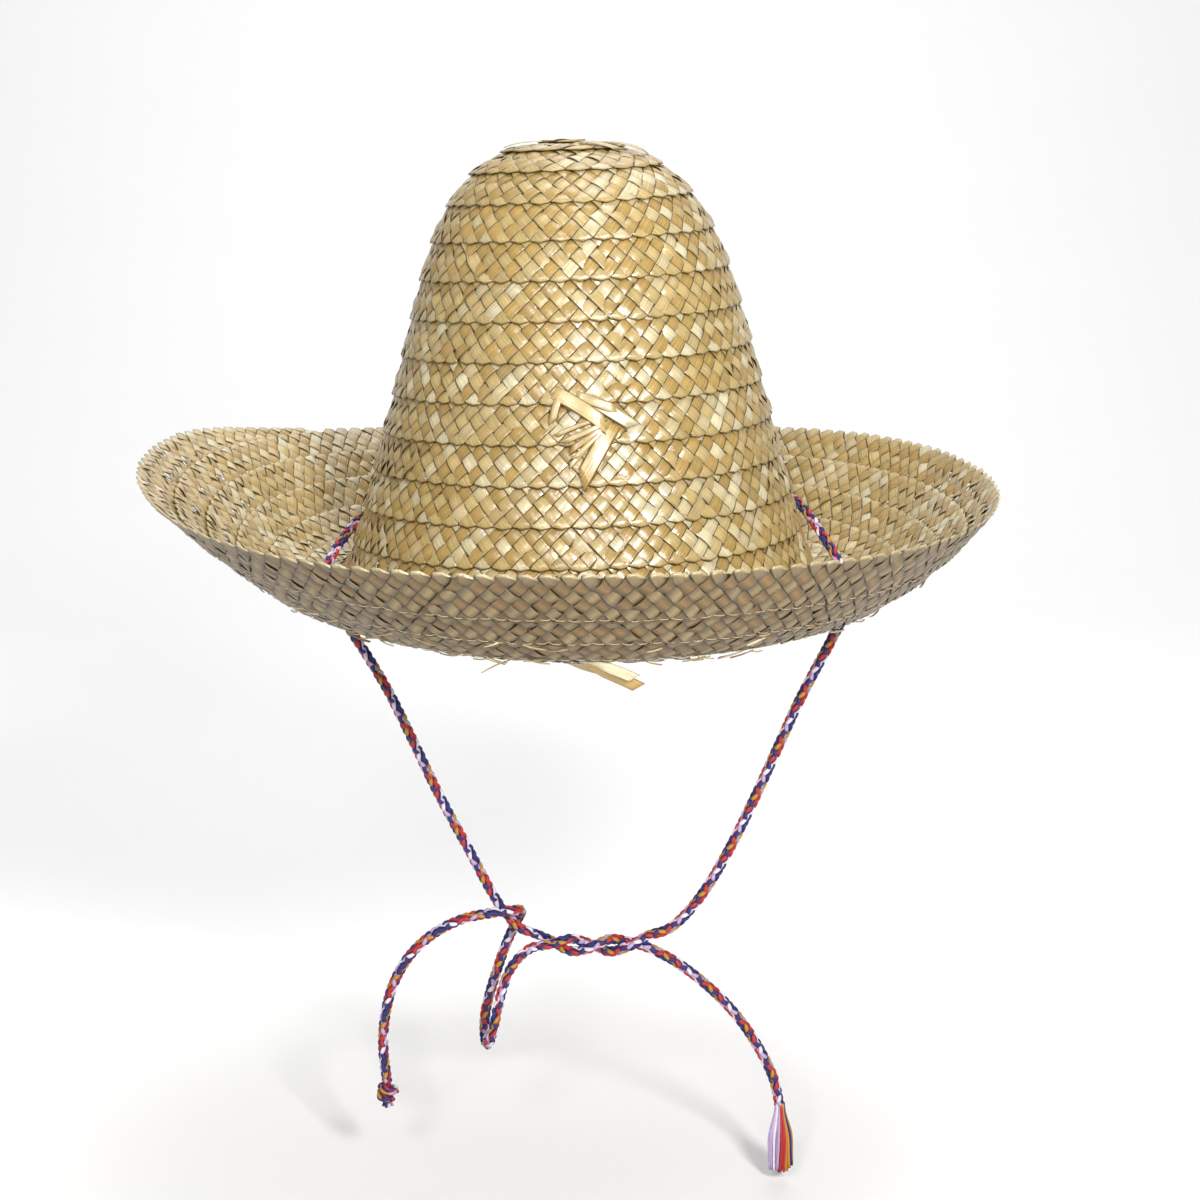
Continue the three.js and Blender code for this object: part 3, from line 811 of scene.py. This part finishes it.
# The tail that ends the right side: the cord's own yarns, unbraided
TASSEL_YARNS = 84
TASSEL_YARN_RADIUS = 0.62
TASSEL_LENGTH, TASSEL_UNEVEN = 27.2, 2.6
TASSEL_NECK, TASSEL_SPREAD, TASSEL_GATHER = 1.7, 3.4, 0.25


def tassel_shade(number, x, y):
    """Colour of a tassel yarn from its place in the bundle: pale at the left, red in the middle."""
    if number % 13 == 3:
        return NAVY
    if y > 0.4:
        return (NAVY, RED, NAVY, YELLOW)[number % 4]
    if x < -0.25:
        return (WHITE, LILAC, LILAC)[number % 3]
    return RED if x < 0.35 else YELLOW


def tassel_parts():
    parts = []
    top = np.array(RIGHT_TAIL[-1]) / MM
    for number in range(TASSEL_YARNS):
        ring = math.sqrt((number + 0.5) / TASSEL_YARNS)
        angle = number * GOLDEN_ANGLE
        x, y = ring * math.cos(angle), ring * math.sin(angle)
        length = TASSEL_LENGTH + TASSEL_UNEVEN * rng.random()
        t = np.linspace(0, 1, 14)
        spread = TASSEL_NECK + TASSEL_SPREAD * smooth(0.05, 0.62, t) - TASSEL_GATHER * smooth(0.75, 1, t)
        swing = 0.5 * np.sin(math.pi * t) * math.sin(angle * 3) + 0.3 * np.sin(7 * t + angle) * t
        line = np.stack([
            top[0] + 0.2 + x * spread + swing + 0.9 * t,
            top[1] + y * spread * 0.8,
            top[2] + 0.6 - length * t,
        ], 1)
        shade = yarn_shade(tassel_shade(number, x, y))
        parts.append(single_yarn(line, TASSEL_YARN_RADIUS, shade, number))
    return merged(parts)


# The knot on the left tail: the cord wound round itself, with its cut yarns below
KNOT_CENTRE = (-0.0797, -0.020, -0.2196)
KNOT_TURNS, KNOT_RADIUS, KNOT_START = 1.7, 3.0, 2.2
KNOT_TOP, KNOT_HEIGHT = 3.2, 6.2
KNOT_COIL_SCALE, KNOT_CORE_SCALE = 0.92, 0.86
KNOT_YARNS = 16
KNOT_YARN_RADIUS = 0.5


def knot_parts():
    centre = np.array(KNOT_CENTRE) / MM
    t = np.linspace(0, 1, 60)
    turn = 2 * math.pi * KNOT_TURNS * t
    radius = KNOT_RADIUS * np.sin(math.pi * np.clip(t * 1.02, 0, 1)) ** 0.35
    coil = np.stack([
        centre[0] + radius * np.cos(turn + KNOT_START),
        centre[1] + radius * np.sin(turn + KNOT_START),
        centre[2] + KNOT_TOP - KNOT_HEIGHT * t,
    ], 1)
    coil, _ = spline(coil[::4], YARN_STEP)
    parts = [braid(coil, scale=KNOT_COIL_SCALE, phase=1.1)]
    core_height = centre[2] + np.linspace(5.4, -3.6, 9)
    core = np.stack([np.full(9, centre[0]), np.full(9, centre[1]), core_height], 1)
    parts.append(braid(spline(core, YARN_STEP)[0], scale=KNOT_CORE_SCALE))
    for number in range(KNOT_YARNS):
        angle = number * GOLDEN_ANGLE
        ring = math.sqrt((number + 0.5) / KNOT_YARNS)
        reach = 2.6 + 0.8 * rng.random()
        down = np.linspace(0, 1, 5)
        line = np.stack([
            centre[0] + ring * math.cos(angle) * (1.3 + 1.3 * down),
            centre[1] + ring * math.sin(angle) * (1.3 + 1.3 * down),
            centre[2] - 2.9 - reach * down,
        ], 1)
        shade = yarn_shade(YARN_COLOURS[number % YARNS])
        parts.append(single_yarn(line, KNOT_YARN_RADIUS, shade, number + 60))
    return merged(parts)


def back_points():
    """Up the left hole, round the back of the crown a little above the crease, and down the right hole."""
    start, end = np.array(BACK_CORD_START), np.array(BACK_CORD_END)
    points = [hole_point(LEFT_HOLE, 0), hole_point(LEFT_HOLE, CORD_ABOVE_HOLE)]
    for share in np.linspace(0, 1, BACK_CORD_POINTS):
        distance, azimuth = start + (end - start) * share
        points.append(hat_point(distance, azimuth, BACK_CORD_HEIGHT))
    points += [hole_point(RIGHT_HOLE, CORD_ABOVE_HOLE), hole_point(RIGHT_HOLE, 0)]
    return np.array(points)


def chin_route(hole, *stretches):
    """A free cord's mm points: out of the hole downwards, and along its stretches."""
    start = [hole_point(hole, 0), hole_point(hole, -CORD_BELOW_HOLE)]
    return np.array(start + [np.array(p) / MM for stretch in stretches for p in stretch])


back_line, _ = spline(back_points(), YARN_STEP)
left_line, _ = spline(chin_route(LEFT_HOLE, LEFT_STRAND, TWIST_FROM_LEFT, RIGHT_TAIL), YARN_STEP)
right_line, _ = spline(chin_route(RIGHT_HOLE, RIGHT_STRAND, TWIST_FROM_RIGHT, LEFT_TAIL), YARN_STEP)
dressed_piece("back_cord", braid(back_line), YARN, "cord", "crown_cord")
left_cord = dressed_piece(
    "cord_from_left", braid(left_line), YARN, "cord", "chin_cord_left", "right_tail"
)
right_cord = dressed_piece(
    "cord_from_right", braid(right_line), YARN, "cord", "chin_cord_right", "chin_twist", "left_tail"
)
tassel = dressed_piece("frayed_tassel", tassel_parts(), YARN, "cord", "tassel")
knot = dressed_piece("tied_end_knot", knot_parts(), YARN, "cord", "end_knot")
hole_point(LEFT_HOLE, 0) * MM
hole_point(RIGHT_HOLE, 0) * MM

# ---------------------------------------------------------------- floor and light
FLOOR_BELOW = 0.004
FLOOR_FRONT, FLOOR_BACK, FLOOR_HALF_WIDTH = -3.0, 1.1, 4.0
BEND_RADIUS = 0.9
WALL_TOP = 4.0

bend = [(FLOOR_FRONT, 0.0), (FLOOR_BACK, 0.0)]
for a in np.radians(np.arange(10, 91, 10)):
    bend.append((FLOOR_BACK + BEND_RADIUS * math.sin(a), BEND_RADIUS - BEND_RADIUS * math.cos(a)))
bend.append((FLOOR_BACK + BEND_RADIUS, WALL_TOP))
floor_z = cad_low.z - FLOOR_BELOW
sweep = [(x, y, floor_z + z) for y, z in bend for x in (-FLOOR_HALF_WIDTH, FLOOR_HALF_WIDTH)]
floor_mesh = bpy.data.meshes.new("floor")
floor_mesh.from_pydata(sweep, [], [(i, i + 1, i + 3, i + 2) for i in range(0, len(sweep) - 2, 2)])
floor_mesh.polygons.foreach_set("use_smooth", np.ones(len(floor_mesh.polygons), bool))
floor = bpy.data.objects.new("floor", floor_mesh)
bpy.context.scene.collection.objects.link(floor)
floor_look, _, _ = new_material("floor", 0.9, Base_Color=(0.8, 0.8, 0.8, 1))
floor_mesh.materials.append(floor_look)

bpy.context.scene.view_settings.view_transform = "Standard"
world = bpy.data.worlds.new("studio")
bpy.context.scene.world = world
world.use_nodes = True
background = world.node_tree.nodes["Background"]
background.inputs["Color"].default_value = (0.97, 0.97, 0.98, 1)
background.inputs["Strength"].default_value = 0.44

WHITE_LIGHT, WARM_LIGHT = (1, 1, 1), (1.0, 0.99, 0.97)
# Name, place, target, size, power and colour
LIGHTS = [
    ("key", (0.42, -1.15, 0.6), (0, 0, 0.05), 0.22, 16.5, WARM_LIGHT),
    ("side", (-0.28, -1.15, 0.62), (0, 0, 0.05), 0.2, 5, WHITE_LIGHT),
    ("top", (0.1, -0.1, 1.4), (0, 0, 0.1), 0.6, 7, WHITE_LIGHT),
    ("back", (0.2, 1.0, 1.2), (0, 0, 0.05), 0.8, 3, WHITE_LIGHT),
    ("front", (0.05, -1.3, 0.22), (0, 0, 0), 0.25, 2.5, WHITE_LIGHT),
    ("backdrop", (0, 0.75, 1.5), (0, 2.0, 0.5), 1.4, 16, WHITE_LIGHT),
]
for name, place, target, size, power, colour in LIGHTS:
    data = bpy.data.lights.new(name, "AREA")
    data.size = size
    data.energy = power
    data.color = colour
    light = bpy.data.objects.new(name, data)
    light.location = place
    direction = Vector(target) - Vector(place)
    light.rotation_euler = direction.to_track_quat("-Z", "Y").to_euler()
    bpy.context.scene.collection.objects.link(light)
